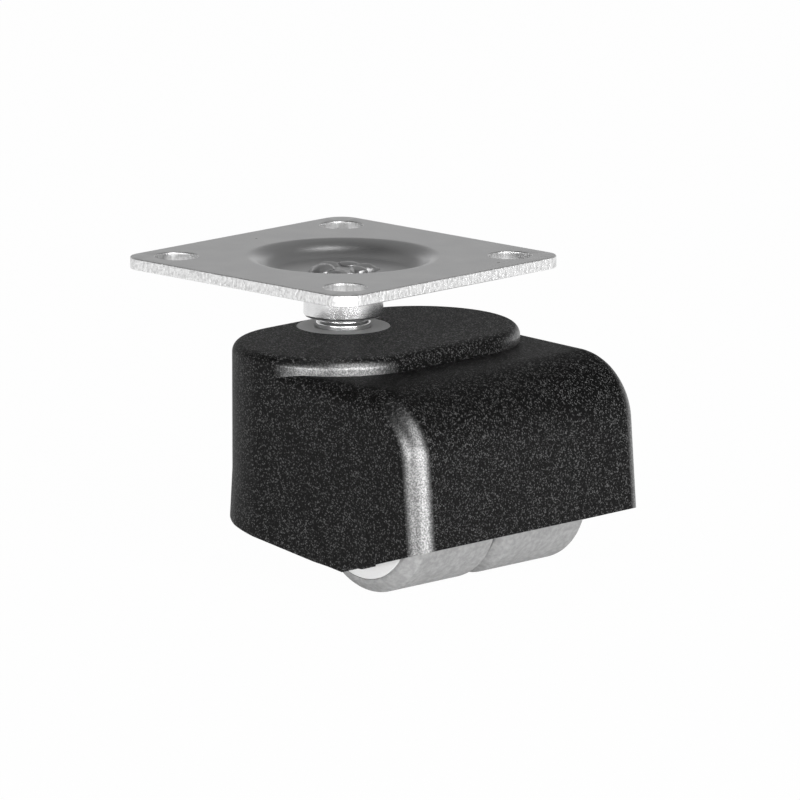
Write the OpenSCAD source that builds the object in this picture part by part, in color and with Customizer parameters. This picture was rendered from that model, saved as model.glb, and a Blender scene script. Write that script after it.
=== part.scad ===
// Twin-roller swivel castor with a square screw-on plate.
// The origin lies on the swivel axis, in the plate's top face.
// +Z points up, +X along the trail towards the rollers, +Y along the axle.

/* [Plate] */
// Side of the square plate
plate_side = 40; // [36:1:60]
// Sheet thickness of the plate
plate_thick = 1.5; // [1:0.1:2.5]
// Corner radius of the plate
plate_corner_r = 2.8; // [1:0.1:4]
// Spacing of the four screw holes, both ways
hole_spacing = 30; // [27:0.5:31]
// Diameter of the screw holes
hole_d = 5.5; // [3:0.1:6]
// Diameter of the pressed dish where it leaves the top face
dish_mouth_d = 25; // [22:0.5:28]
// Diameter of the flat floor of the dish
dish_floor_d = 17; // [14:0.5:19]
// Depth of the dish
dish_depth = 2; // [1:0.1:3]

/* [Swivel pin] */
// Diameter of the shank that turns in the bush
shank_d = 7; // [6:0.1:8]
// Length of the shank below the collar
shank_len = 17.8; // [16:0.1:19]
// Diameter of the collar under the plate
collar_d = 10.2; // [9:0.1:12]
// Height of the collar
collar_h = 4.2; // [3:0.1:6]
// Rounding of the collar's lower edge
collar_edge_r = 0.4; // [0.2:0.1:1.2]
// Diameter of the tenon that passes through the dish floor
tenon_d = 6; // [5:0.1:6.5]
// Width across the lobes of the staked head
stake_d = 8.8; // [8:0.1:10]
// Height of the staked lobes above the dish floor
stake_h = 1.1; // [0.8:0.1:1.6]
// Number of lobes that the staking punch leaves
stake_lobes = 8; // [6:1:10]
// Diameter of one staked lobe
stake_lobe_d = 2.2; // [1.6:0.1:2.6]
// Height of the flat between the lobes
stake_core_h = 0.7; // [0.4:0.1:0.8]
// Diameter of the punch mark in the middle of the head
stake_cup_d = 3; // [2:0.1:4]
// Depth of the groove for the retaining ring
groove_depth = 0.6; // [0.4:0.1:0.8]
// Diameter of the flat at the pin's tip
tip_d = 4; // [2:0.1:5]

/* [Bush and pivot] */
// Diameter of the bush flange that shows in the boss
bush_flange_d = 12; // [11:0.1:12.4]
// Thickness of the bush flange
bush_flange_t = 1.2; // [0.8:0.1:2]
// Outer diameter of the bush body
bush_d = 9.5; // [9.2:0.1:10]
// Length of the bush with its flange
bush_len = 11; // [9:0.1:12]
// Thickness of the split retaining ring
ring_t = 0.9; // [0.6:0.1:1.2]
// Outer diameter of the retaining ring
ring_d = 8.6; // [8.2:0.1:8.8]
// Opening of the retaining ring in degrees
ring_gap = 50; // [30:5:90]
// Thickness of the thrust disc under the pin's tip
disc_t = 0.8; // [0.5:0.1:1.5]

/* [Housing] */
// Wall thickness of the moulding
wall = 2; // [1.5:0.1:2.5]
// Space between the collar and the top of the boss
boss_gap = 1.35; // [1:0.05:3]
// Radius of the boss's round ends in plan
boss_r = 13; // [12:0.1:14]
// Distance of the boss's middle ahead of the swivel axis
boss_forward = 5.9; // [5:0.1:6.6]
// Rounding of the boss's top edge
boss_edge_r = 1.4; // [0.3:0.1:1.8]
// Step from the boss down to the hood
step_h = 2.15; // [1.6:0.05:4]
// Radius of the long round between the hood's top and front
front_round_r = 8.8; // [7:0.1:12]
// Rounding of the hood's edges, along its top and down both sides of the front wall
hood_edge_r = 3; // [1:0.1:4]
// Outward lean of the front wall in degrees
front_draft = 4.5; // [0.5:0.1:6]
// Depth of the side walls' lowest point below the axle
rim_drop = 6.15; // [5:0.05:7]
// Depth of the front wall's rim below the axle
front_rim_drop = 1.65; // [0:0.05:4]
// Rise of the rim towards the back in degrees
rim_back_rise = 8.7; // [2:0.1:12]
// Height above the axle below which the round back flares out
foot_rise = 3.5; // [1:0.5:8]
// Flare of the round back in degrees
foot_lean = 3; // [0.5:0.1:5]
// Width of the shallow wedge on each side wall below the axle
relief_w = 7.1; // [4:0.1:9]
// Height of that wedge above the rim
relief_h = 11; // [6:0.5:14]
// Lean of the wedge in degrees
relief_lean = 1.8; // [0.5:0.1:3]

/* [Rollers] */
// Overall height from the plate's top face to the floor
overall_h = 38.5; // [37:0.1:40]
// Trail, from the swivel axis to the axle
trail = 19.4; // [18:0.1:24]
// Diameter of the rollers over their treads
roller_d = 19; // [17:0.1:20]
// Width of one roller
roller_w = 15.9; // [12:0.1:20]
// Space between the two rollers
roller_gap = 0.6; // [0.4:0.1:2]
// Thickness of the grey tread on the white hub
tread_t = 1.9; // [1.6:0.1:3]
// Width of the sloping shoulder at each end of the tread
shoulder_w = 1.7; // [0.5:0.1:3]
// Drop of that shoulder below the running face
shoulder_drop = 1.35; // [0.4:0.05:1.5]
// Diameter of the steel axle
axle_d = 3; // [2.5:0.1:4]
// Diameter of the raised ring round each hub's bore
hub_ring_d = 6; // [5:0.1:8]
// Width of the lugs that carry the axle
lug_w = 6.2; // [5:0.1:8]
// Height of the lugs above the axle
lug_rise = 5; // [3:0.1:7]

/* [Clearances] */
// Radial clearance of a turning fit
run_fit = 0.05; // [0.03:0.01:0.09]
// Radial clearance of a seated fit
seat_fit = 0.02; // [0.01:0.01:0.04]
// Axial play of the rollers against the lugs and each other
hub_play = 0.15; // [0.1:0.05:0.3]
// Axial play of the retaining ring under the bush
ring_play = 0.3; // [0.2:0.05:0.6]
// Play between the pin's tip and the thrust disc
tip_play = 0.05; // [0.02:0.01:0.2]
// Room between the roller's end and the side wall
side_room = 2.3; // [2:0.1:4]
// Room between the rollers and the front wall
front_room = 2.8; // [2:0.1:6]
// Amount by which the snap slot is narrower than the axle
snap = 0.5; // [0.2:0.05:0.8]

/* [Hidden] */
$fn = 96;

// A length that reaches past every cut
past = 80;
// Overlap of pieces that are joined into one moulding
join = 0.5;
// Heights along the swivel axis, from the plate down
dish_floor_z = -dish_depth;
dish_under_z = dish_floor_z - plate_thick;
collar_low_z = dish_under_z - collar_h;
boss_top_z = collar_low_z - boss_gap;
bush_low_z = boss_top_z - bush_len;
ring_top_z = bush_low_z - ring_play;
ring_low_z = ring_top_z - ring_t;
tip_z = collar_low_z - shank_len;
disc_top_z = tip_z - tip_play;
socket_floor_z = disc_top_z - disc_t;
hood_top_z = boss_top_z - step_h;
ceiling_z = hood_top_z - wall;
// Pin and bush
groove_d = shank_d - 2 * groove_depth;
// Axial play of the ring in its groove
groove_play = 0.15;
// Undercut below the collar
undercut = 0.3;
// Bevel at the pin's tip and at the mouth of the bush
tip_bevel = (shank_d - tip_d) / 2;
mouth_bevel = 0.35;
socket_d = bush_d + 2 * seat_fit;
tower_wall = 1.8;
tower_d = socket_d + 2 * tower_wall;
tower_floor = 1.6;
// Rollers and what carries them
roller_r = roller_d / 2;
hub_d = roller_d - 2 * tread_t;
axle_z = roller_r - overall_h;
roller_inner_y = roller_gap / 2;
roller_outer_y = roller_inner_y + roller_w;
side_inner_y = roller_outer_y + side_room;
half_w = side_inner_y + wall;
lug_face_y = roller_outer_y + 2 * hub_play;
// Gap that keeps the axle's ends and the lugs' feet off the walls and the floor line
end_gap = 0.3;
axle_len = 2 * (side_inner_y - end_gap);
// Rim of the housing
rim_low_z = axle_z - rim_drop;
rim_front_z = axle_z - front_rim_drop;
foot_z = axle_z + foot_rise;
front_x = trail + roller_r + front_room + wall;
rim_front_rise = atan((rim_front_z - rim_low_z) / (front_x - trail));
// Axis of the round between the hood's top and front
round_z = hood_top_z - front_round_r;
round_x = front_x - (front_round_r + sin(front_draft) * (round_z - rim_front_z)) / cos(front_draft);
// That round stands proud of the flat walls by a hair and laps into them, so they cross cleanly
round_proud = 0.05;
round_lap = 10;
// The boss's round ends pass the side walls by this much, so they leave them at a small angle
boss_over = 0.1;
boss_spread = half_w + boss_over - boss_r;
// Cut of the wedge relief starts this far off the wall
relief_start = 0.02;
// Steps of a curve in the pressed dish
dish_steps = 12;

// Height of the dish's top face at radius r: level at the floor and at the mouth
function dish_height(r) =
    let (share = (r - dish_floor_d / 2) / (dish_mouth_d - dish_floor_d) * 2)
    -dish_depth * (1 + cos(180 * share)) / 2;

// Points along the dish's wall from the floor out to the mouth, lowered by drop
function dish_points(drop) = [
    for (i = [0:dish_steps])
        let (r = (dish_floor_d + (dish_mouth_d - dish_floor_d) * i / dish_steps) / 2)
        [r, dish_height(r) - drop]
];

// Quarter of a disc in the first quadrant
module quarter_disc(r) {
    intersection() {
        circle(r);
        square(r);
    }
}

// Slab with round upright corners, its top face at z = 0
module round_slab(side, thick, corner_r) {
    inner = side - 2 * corner_r;
    translate([0, 0, -thick])
        linear_extrude(thick) {
            square([inner, side], center = true);
            for (i = [0, 180]) {
                rotate(i)
                    translate([side / 2 - corner_r, -inner / 2])
                        square([corner_r, inner]);
            }
            for (i = [0, 90, 180, 270]) {
                rotate(i)
                    translate([inner / 2, inner / 2])
                        quarter_disc(corner_r);
            }
        }
}

// Section of the hood across its run: x from low to high, the two high corners rounded
module hood_section(low, high, half, edge_r) {
    translate([low, -half])
        square([high - edge_r - low, 2 * half]);
    translate([high - edge_r, edge_r - half])
        square([edge_r, 2 * (half - edge_r)]);
    for (side = [0, 1]) {
        mirror([0, side])
            translate([high - edge_r, half - edge_r])
                quarter_disc(edge_r);
    }
}

// Hood: level top, long front round and leaning front wall with rounded edges
module hood_form() {
    flat_r = front_round_r - round_proud;
    translate([round_x, 0, round_z]) {
        rotate([0, -90, 0])
            linear_extrude(round_x - boss_forward)
                hood_section(-past / 2, flat_r, half_w, hood_edge_r);
        rotate([90, round_lap - front_draft, 0])
            rotate_extrude(angle = 90 - front_draft + 2 * round_lap)
                hood_section(0, front_round_r, half_w, hood_edge_r);
        rotate([180, -front_draft, 0])
            linear_extrude(past / 2)
                hood_section(-wall, flat_r, half_w, hood_edge_r);
    }
}

// Space inside the hood, at a wall's distance from its top and front
module hood_space() {
    r = front_round_r - wall;
    flat_r = r - round_proud;
    low_x = flat_r * cos(front_draft) + past * sin(front_draft);
    low_z = flat_r * sin(front_draft) - past * cos(front_draft);
    translate([round_x, side_inner_y, round_z])
        rotate([90, 0, 0])
            linear_extrude(2 * side_inner_y) {
                circle(r);
                polygon([
                    [boss_forward - round_x, low_z], [boss_forward - round_x, flat_r], [0, flat_r], [0, 0],
                    [flat_r * cos(front_draft), flat_r * sin(front_draft)], [low_x, low_z]
                ]);
            }
}

// Half section of the boss: its outer top corner rounded, its foot flared
module boss_section(r, low, high, edge_r) {
    polygon([
        [0, low], [r + (foot_z - low) * tan(foot_lean), low], [r, foot_z],
        [r, high - edge_r], [0, high - edge_r]
    ]);
    if (edge_r > 0) {
        translate([0, high - edge_r])
            square([r - edge_r, edge_r]);
        translate([r - edge_r, high - edge_r])
            quarter_disc(edge_r);
    }
}

// Boss with two round ends in plan, cut off flush with the side walls
module boss_form(inset, high, edge_r) {
    r = boss_r - inset;
    low = -past;
    intersection() {
        union() {
            for (turn = [0, 180]) {
                translate([boss_forward, 0, 0])
                    rotate([0, 0, turn])
                        translate([0, boss_spread, 0])
                            rotate_extrude(angle = 180)
                                boss_section(r, low, high, edge_r);
            }
            for (side = [0, 1]) {
                translate([boss_forward, boss_spread, 0])
                    rotate([90, 0, 0])
                        linear_extrude(2 * boss_spread)
                            mirror([side, 0])
                                boss_section(r, low, high, edge_r);
            }
        }
        translate([-past, inset - half_w, -past])
            cube([2 * past, 2 * (half_w - inset), 2 * past]);
    }
}

// Everything below the rim, which is lowest under the axle and rises to the back and the front
module below_rim() {
    for (rise = [rim_back_rise, -rim_front_rise]) {
        translate([trail, 0, rim_low_z])
            rotate([0, rise, 0])
                translate([-past, -past, -past])
                    cube([2 * past, 2 * past, past]);
    }
}

// Shallow leaning wedge cut into each side wall below the axle
module side_reliefs() {
    for (turn = [0, 180]) {
        translate([trail, 0, rim_low_z + relief_h])
            rotate([0, 0, turn])
                translate([-relief_w / 2, half_w + relief_start, 0])
                    rotate([-relief_lean, 0, 0])
                        translate([0, 0, -past])
                            cube([relief_w, past, past]);
    }
}

// Lugs inside the side walls, with a snap slot for the axle that opens downwards
module axle_lugs() {
    low_z = rim_low_z + end_gap;
    difference() {
        for (side = [0, 1]) {
            mirror([0, side, 0])
                translate([trail - lug_w / 2, lug_face_y, low_z])
                    cube([lug_w, side_inner_y - lug_face_y + join, axle_z + lug_rise - low_z]);
        }
        translate([trail, axle_len / 2 + end_gap, axle_z])
            rotate([90, 0, 0])
                cylinder(d = axle_d + 2 * seat_fit, h = axle_len + 2 * end_gap);
        translate([trail - (axle_d - snap) / 2, -axle_len / 2 - end_gap, axle_z - past])
            cube([axle_d - snap, axle_len + 2 * end_gap, past]);
    }
}

// Pressed steel plate with four screw holes and a dish for the pin's head
module top_plate() {
    color("silver")
        difference() {
            union() {
                round_slab(plate_side, plate_thick, plate_corner_r);
                rotate_extrude()
                    polygon(concat(
                        [[0, -plate_thick / 2], [0, dish_under_z]],
                        dish_points(plate_thick),
                        [[dish_mouth_d / 2, -plate_thick / 2]]
                    ));
            }
            rotate_extrude()
                polygon(concat(
                    [[0, plate_thick], [0, dish_floor_z]],
                    dish_points(0),
                    [[dish_mouth_d / 2, plate_thick]]
                ));
            translate([0, 0, dish_under_z - join])
                cylinder(d = tenon_d + 2 * seat_fit, h = plate_thick + dish_depth);
            for (x = [-1, 1], y = [-1, 1]) {
                translate([x * hole_spacing / 2, y * hole_spacing / 2, -plate_thick - join])
                    cylinder(d = hole_d, h = plate_thick + 2 * join);
            }
        }
}

// Head of the pin, spread over the dish floor by a punch that leaves lobes round a cup
module staked_head() {
    ring_r = (stake_d - stake_lobe_d) / 2;
    difference() {
        translate([0, 0, dish_floor_z]) {
            cylinder(r = ring_r, h = stake_core_h);
            for (i = [0:stake_lobes - 1]) {
                rotate(360 * i / stake_lobes)
                    translate([ring_r, 0, 0])
                        cylinder(d = stake_lobe_d, h = stake_h);
            }
        }
        translate([0, 0, dish_floor_z + stake_core_h / 2])
            cylinder(d1 = 0, d2 = 2 * stake_cup_d, h = stake_core_h);
    }
}

// Turned steel pin: staked head, tenon, collar and shank with a ring groove
module swivel_pin() {
    groove_top_z = ring_top_z + groove_play;
    groove_low_z = ring_low_z - groove_play;
    color("gainsboro") {
        staked_head();
        rotate_extrude() {
            polygon([
                [0, dish_floor_z], [tenon_d / 2, dish_floor_z], [tenon_d / 2, dish_under_z],
                [collar_d / 2, dish_under_z], [collar_d / 2, collar_low_z + collar_edge_r],
                [collar_d / 2 - collar_edge_r, collar_low_z + collar_edge_r],
                [collar_d / 2 - collar_edge_r, collar_low_z],
                [shank_d / 2 - undercut, collar_low_z],
                [shank_d / 2 - undercut, collar_low_z - undercut],
                [shank_d / 2, collar_low_z - 2 * undercut],
                [shank_d / 2, groove_top_z], [groove_d / 2, groove_top_z],
                [groove_d / 2, groove_low_z], [shank_d / 2, groove_low_z],
                [shank_d / 2, tip_z + tip_bevel], [tip_d / 2, tip_z], [0, tip_z]
            ]);
            translate([collar_d / 2 - collar_edge_r, collar_low_z + collar_edge_r])
                mirror([0, 1])
                    quarter_disc(collar_edge_r);
        }
    }
}

// Split spring ring in the pin's groove, which keeps the pin in the bush
module retaining_ring() {
    inner_d = groove_d + 2 * run_fit;
    color("dimgray")
        translate([0, 0, ring_low_z])
            rotate([0, 0, ring_gap / 2])
                rotate_extrude(angle = 360 - ring_gap)
                    translate([inner_d / 2, 0])
                        square([(ring_d - inner_d) / 2, ring_t]);
}

// Flanged bush, flush in the top of the boss
module pin_bush() {
    bore_r = shank_d / 2 + run_fit;
    color("gray")
        rotate_extrude()
            polygon([
                [bore_r, bush_low_z], [bush_d / 2, bush_low_z],
                [bush_d / 2, boss_top_z - bush_flange_t], [bush_flange_d / 2, boss_top_z - bush_flange_t],
                [bush_flange_d / 2, boss_top_z], [bore_r + mouth_bevel, boss_top_z],
                [bore_r, boss_top_z - mouth_bevel]
            ]);
}

// Hard disc at the bottom of the socket, which takes the load of the pin's tip
module thrust_disc() {
    color("lightgray")
        translate([0, 0, socket_floor_z])
            cylinder(d = bush_d, h = disc_t);
}

// Moulded housing: boss round the pin, hood over the rollers, open below
module housing() {
    color("#1c1c1c")
        difference() {
            union() {
                difference() {
                    union() {
                        boss_form(0, boss_top_z, boss_edge_r);
                        hood_form();
                    }
                    boss_form(wall, ceiling_z, 0);
                    hood_space();
                    below_rim();
                    side_reliefs();
                }
                translate([0, 0, socket_floor_z - tower_floor])
                    cylinder(d = tower_d, h = ceiling_z + join - socket_floor_z + tower_floor);
                axle_lugs();
            }
            translate([0, 0, socket_floor_z])
                cylinder(d = socket_d, h = past);
            translate([0, 0, boss_top_z - bush_flange_t])
                cylinder(d = bush_flange_d + 2 * seat_fit, h = past);
        }
}

// Steel axle, snapped into the lugs
module axle() {
    color("silver")
        translate([trail, axle_len / 2, axle_z])
            rotate([90, 0, 0])
                cylinder(d = axle_d, h = axle_len);
}

// Places a roller part that is turned about its own axis, from the inner end outwards
module on_axle(side) {
    translate([trail, side * roller_inner_y, axle_z])
        rotate([-side * 90, 0, 0])
            children();
}

// White hub with a raised ring round its bore at both ends
module roller_hub(side) {
    bore_r = axle_d / 2 + run_fit;
    color("white")
        on_axle(side)
            rotate_extrude()
                polygon([
                    [bore_r, -hub_play], [hub_ring_d / 2, -hub_play], [hub_ring_d / 2, 0],
                    [hub_d / 2, 0], [hub_d / 2, roller_w], [hub_ring_d / 2, roller_w],
                    [hub_ring_d / 2, roller_w + hub_play], [bore_r, roller_w + hub_play]
                ]);
}

// Grey tread with a sloping shoulder at both ends
module roller_tread(side) {
    inner_r = hub_d / 2 + seat_fit;
    end_r = roller_r - shoulder_drop;
    color("darkgray")
        on_axle(side)
            rotate_extrude()
                polygon([
                    [inner_r, 0], [end_r, 0], [roller_r, shoulder_w], [roller_r, roller_w - shoulder_w],
                    [end_r, roller_w], [inner_r, roller_w]
                ]);
}

module left_hub() {
    roller_hub(1);
}

module left_tread() {
    roller_tread(1);
}

module right_hub() {
    roller_hub(-1);
}

module right_tread() {
    roller_tread(-1);
}

top_plate();
swivel_pin();
retaining_ring();
pin_bush();
thrust_disc();
housing();
axle();
left_hub();
left_tread();
right_hub();
right_tread();
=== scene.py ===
"""Twin-roller swivel castor: finished pieces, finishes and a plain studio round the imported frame."""
import math

import bmesh
import bpy
from mathutils import Matrix, Vector


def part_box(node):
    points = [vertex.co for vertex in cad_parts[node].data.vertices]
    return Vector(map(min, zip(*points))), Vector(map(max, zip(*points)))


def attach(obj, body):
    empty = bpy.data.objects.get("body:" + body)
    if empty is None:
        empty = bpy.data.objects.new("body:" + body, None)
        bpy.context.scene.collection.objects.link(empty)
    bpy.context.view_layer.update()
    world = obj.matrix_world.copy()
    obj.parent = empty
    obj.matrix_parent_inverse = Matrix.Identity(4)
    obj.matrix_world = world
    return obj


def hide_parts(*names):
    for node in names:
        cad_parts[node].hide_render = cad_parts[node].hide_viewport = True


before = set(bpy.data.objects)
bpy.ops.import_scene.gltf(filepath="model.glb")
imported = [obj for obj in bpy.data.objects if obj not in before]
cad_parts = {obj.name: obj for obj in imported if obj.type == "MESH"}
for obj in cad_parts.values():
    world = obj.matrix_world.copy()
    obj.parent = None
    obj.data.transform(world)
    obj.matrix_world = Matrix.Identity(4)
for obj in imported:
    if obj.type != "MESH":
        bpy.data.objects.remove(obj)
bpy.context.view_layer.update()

# Shapes below are worked out in millimetres and turned into metres when a mesh is made
MM = 0.001


def span(node):
    """Lowest and highest corner of a frame node, in millimetres."""
    low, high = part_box(node)
    return low / MM, high / MM


# Plate: a pressed sheet with a dish and four screw holes
PLATE_LOW, PLATE_HIGH = span("top_plate")
PLATE_HALF = PLATE_HIGH.x
SHEET = 1.5
CORNER_R = 2.8
HOLE_AT = 15.0
HOLE_R = 2.75
LIP_R = 0.15
MOUTH_R = 12.5
FLOOR_R = 8.5
DISH_UNDER_Z = PLATE_LOW.z
DISH_FLOOR_Z = DISH_UNDER_Z + SHEET
TOP_ROLL = 0.15
BURR_ROLL = 0.12
# How torn the punched hole walls are beside the plate's sheared edges
WALL_TEAR = 0.15

# Pin, its staked head and the bush it turns in
PIN_LOW, PIN_HIGH = span("swivel_pin")
COLLAR_R = PIN_HIGH.x
COLLAR_LOW_Z = DISH_UNDER_Z - 4.2
SHANK_R = 3.5
TENON_R = 3.0
HEAD_R = 4.4
BUSH_LOW, BUSH_HIGH = span("pin_bush")
BUSH_BODY_R = 4.75
BUSH_FLANGE_T = 1.2
RING_LOW, RING_HIGH = span("retaining_ring")
GROOVE_R = 2.9
GROOVE_PLAY = 0.15
TIP_R = 2.0

# Housing: a round boss behind, a hood over the rollers in front
HOUSE_LOW, HOUSE_HIGH = span("housing")
HALF_W = HOUSE_HIGH.y
FRONT_X = HOUSE_HIGH.x
BOSS_TOP_Z = HOUSE_HIGH.z
RIM_LOW_Z = HOUSE_LOW.z
WALL = 2.0
BOSS_R = 13.0
BOSS_X = 5.9
BOSS_SPREAD = HALF_W + 0.1 - BOSS_R
BOSS_EDGE_R = 1.4
HOOD_TOP_Z = BOSS_TOP_Z - 2.15
CEILING_Z = HOOD_TOP_Z - WALL
ROUND_R = 8.8
HOOD_EDGE_R = 3.0
EDGE_AT_BOSS = 1 / 3
DRAFT = math.radians(4.5)
RIM_FRONT_Z = -30.65
RIM_BACK_RISE = math.radians(8.7)
FOOT_LEAN = math.radians(3.0)
FOOT_RISE = 3.5
RELIEF_W = 7.1
RELIEF_H = 11.0
RELIEF_LEAN = math.radians(1.8)
RELIEF_SOFT = 3.6
DISC_LOW, DISC_HIGH = span("thrust_disc")
SOCKET_R = 4.77
TOWER_WALL = 1.8
TOWER_FLOOR = 1.6
LUG_W = 4.8
LUG_RISE = 5.0
SNAP = 0.5

# Rollers on their axle
TREAD_LOW, TREAD_HIGH = span("left_tread")
HUB_LOW, HUB_HIGH = span("left_hub")
AXLE_LOW, AXLE_HIGH = span("axle")
TRAIL = (TREAD_LOW.x + TREAD_HIGH.x) / 2
AXLE_Z = (TREAD_LOW.z + TREAD_HIGH.z) / 2
ROLLER_R = (TREAD_HIGH.z - TREAD_LOW.z) / 2
ROLLER_W = TREAD_HIGH.y - TREAD_LOW.y
HUB_R = (HUB_HIGH.z - HUB_LOW.z) / 2
HUB_PLAY = TREAD_LOW.y - HUB_LOW.y
HUB_RING_R = 3.0
AXLE_R = (AXLE_HIGH.z - AXLE_LOW.z) / 2
SHOULDER_W = 1.7
SHOULDER_DROP = 1.35
RUN_FIT = 0.05
SEAT_FIT = 0.02
FLOOR_Z = TREAD_LOW.z

# A length that reaches past every cut, and how far a part runs into the wall that it grows from
PAST = 60.0
ROOT = 0.5
TURN_STEPS = 144
ARC_STEPS = 8
SHARP_ANGLE = math.radians(28)


def arc(center, radius, start, end, steps=ARC_STEPS):
    """Points on an arc in the plane, angles in radians, both ends included."""
    points = []
    for i in range(steps + 1):
        angle = start + (end - start) * i / steps
        points.append((center[0] + radius * math.cos(angle), center[1] + radius * math.sin(angle)))
    return points


def rounded(corners, steps=5):
    """Outline through (x, y, radius) corners; a corner with a radius is turned by an arc."""
    points = []
    count = len(corners)
    for i, (x, y, radius) in enumerate(corners):
        here = Vector((x, y))
        if radius == 0:
            points.append((x, y))
            continue
        to_last = (Vector(corners[i - 1][:2]) - here).normalized()
        to_next = (Vector(corners[(i + 1) % count][:2]) - here).normalized()
        half = to_last.angle(to_next) / 2
        center = here + (to_last + to_next).normalized() * radius / math.sin(half)
        first = here + to_last * radius / math.tan(half) - center
        last = here + to_next * radius / math.tan(half) - center
        turn = first.angle_signed(last)
        for k in range(steps + 1):
            spoke = Matrix.Rotation(-turn * k / steps, 2) @ first
            points.append((center.x + spoke.x, center.y + spoke.y))
    return points


def join_rings(bm, rings, closed=True):
    """Quads between neighbouring rings of vertices; a ring of one vertex is a pole."""
    for low, high in zip(rings, rings[1:]):
        count = max(len(low), len(high))
        for i in range(count if closed else count - 1):
            j = (i + 1) % count
            corners = [low[i % len(low)], low[j % len(low)], high[j % len(high)], high[i % len(high)]]
            unique = list(dict.fromkeys(corners))
            if len(unique) > 2:
                bm.faces.new(unique)


def turn_profile(bm, profile, ring=False, steps=TURN_STEPS):
    """Revolves (radius, height) points about Z; a ring profile closes on itself."""
    rings = []
    for radius, height in profile:
        count = 1 if radius < 1e-6 else steps
        verts = []
        for i in range(count):
            angle = 2 * math.pi * i / count
            verts.append(bm.verts.new((radius * math.cos(angle), radius * math.sin(angle), height)))
        rings.append(verts)
    if ring:
        rings.append(rings[0])
    join_rings(bm, rings)
    return rings


def make_object(name, bm, merge=1e-5):
    """Object from a mesh in millimetres: doubles merged, faces turned outwards."""
    bmesh.ops.remove_doubles(bm, verts=bm.verts, dist=merge)
    bmesh.ops.recalc_face_normals(bm, faces=bm.faces)
    bmesh.ops.scale(bm, vec=(MM, MM, MM), verts=bm.verts)
    mesh = bpy.data.meshes.new(name)
    bm.to_mesh(mesh)
    bm.free()
    piece = bpy.data.objects.new(name, mesh)
    bpy.context.scene.collection.objects.link(piece)
    return piece


def settle(piece):
    """Replaces an object's mesh by what its modifiers make of it."""
    view = bpy.context.evaluated_depsgraph_get()
    mesh = bpy.data.meshes.new_from_object(piece.evaluated_get(view))
    piece.modifiers.clear()
    piece.data = mesh
    mesh.name = piece.name


def combine(base, tool, operation):
    """Exact union or difference of two closed objects; the tool is used up."""
    modifier = base.modifiers.new("combine", "BOOLEAN")
    modifier.operation = operation
    modifier.solver = "EXACT"
    modifier.object = tool
    settle(base)
    bpy.data.objects.remove(tool)


def smooth(piece, angle=SHARP_ANGLE):
    """Smooth faces with sharp edges kept and flat faces left flat."""
    piece.data.shade_smooth()
    piece.data.set_sharp_from_angle(angle=angle)
    modifier = piece.modifiers.new("flat_faces", "WEIGHTED_NORMAL")
    modifier.keep_sharp = True
    modifier.weight = 100
    settle(piece)


def dress(piece, body, node, material):
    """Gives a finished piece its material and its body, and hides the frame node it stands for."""
    piece.data.materials.clear()
    piece.data.materials.append(material)
    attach(piece, body)
    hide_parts(node)


def place(tree, kind, inputs=None, **settings):
    """Adds a node; an input given as a socket is linked, any other value is set."""
    node = tree.nodes.new(kind)
    for key, value in settings.items():
        setattr(node, key, value)
    for key, value in (inputs or {}).items():
        if isinstance(value, bpy.types.NodeSocket):
            tree.links.new(value, node.inputs[key])
        else:
            node.inputs[key].default_value = value
    return node


def open_group(name, kind, inputs, outputs):
    """Node tree with named sockets; returns the tree, its input node and its output node."""
    tree = bpy.data.node_groups.new(name, kind)
    for socket, (socket_type, value) in inputs.items():
        item = tree.interface.new_socket(name=socket, in_out="INPUT", socket_type=socket_type)
        if value is not None:
            item.default_value = value
    for socket, socket_type in outputs.items():
        tree.interface.new_socket(name=socket, in_out="OUTPUT", socket_type=socket_type)
    return tree, tree.nodes.new("NodeGroupInput"), tree.nodes.new("NodeGroupOutput")


def run_tree(piece, tree, values):
    """Puts a geometry tree on an object with its named values, and keeps the mesh it makes."""
    modifier = piece.modifiers.new(tree.name, "NODES")
    modifier.node_group = tree
    for item in tree.interface.items_tree:
        if item.in_out == "INPUT" and item.name in values:
            modifier[item.identifier] = values[item.name]
    settle(piece)


# Camera


def aim_camera():
    """Camera at the photograph's viewing angle, with a long lens."""
    azimuth, elevation = math.radians(44.38), math.radians(10.75)
    yaw, pitch = math.radians(0.27), math.radians(-0.69)
    distance = 1.5268
    back = Vector((
        math.sin(azimuth) * math.cos(elevation), -math.cos(azimuth) * math.cos(elevation), math.sin(elevation)
    ))
    right = (-back).cross(Vector((0, 0, 1))).normalized()
    up = right.cross(-back)
    aim = (-back + math.tan(yaw) * right + math.tan(pitch) * up).normalized()
    right = aim.cross(Vector((0, 0, 1))).normalized()
    up = right.cross(aim)
    data = bpy.data.cameras.new("camera")
    data.lens = 540
    data.sensor_width = 36
    data.clip_end = 20
    camera = bpy.data.objects.new("camera", data)
    camera.matrix_world = Matrix((
        (right.x, up.x, -aim.x, back.x * distance),
        (right.y, up.y, -aim.y, back.y * distance),
        (right.z, up.z, -aim.z, back.z * distance),
        (0, 0, 0, 1),
    ))
    bpy.context.scene.collection.objects.link(camera)
    bpy.context.scene.camera = camera


# Shared surface effects


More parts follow.
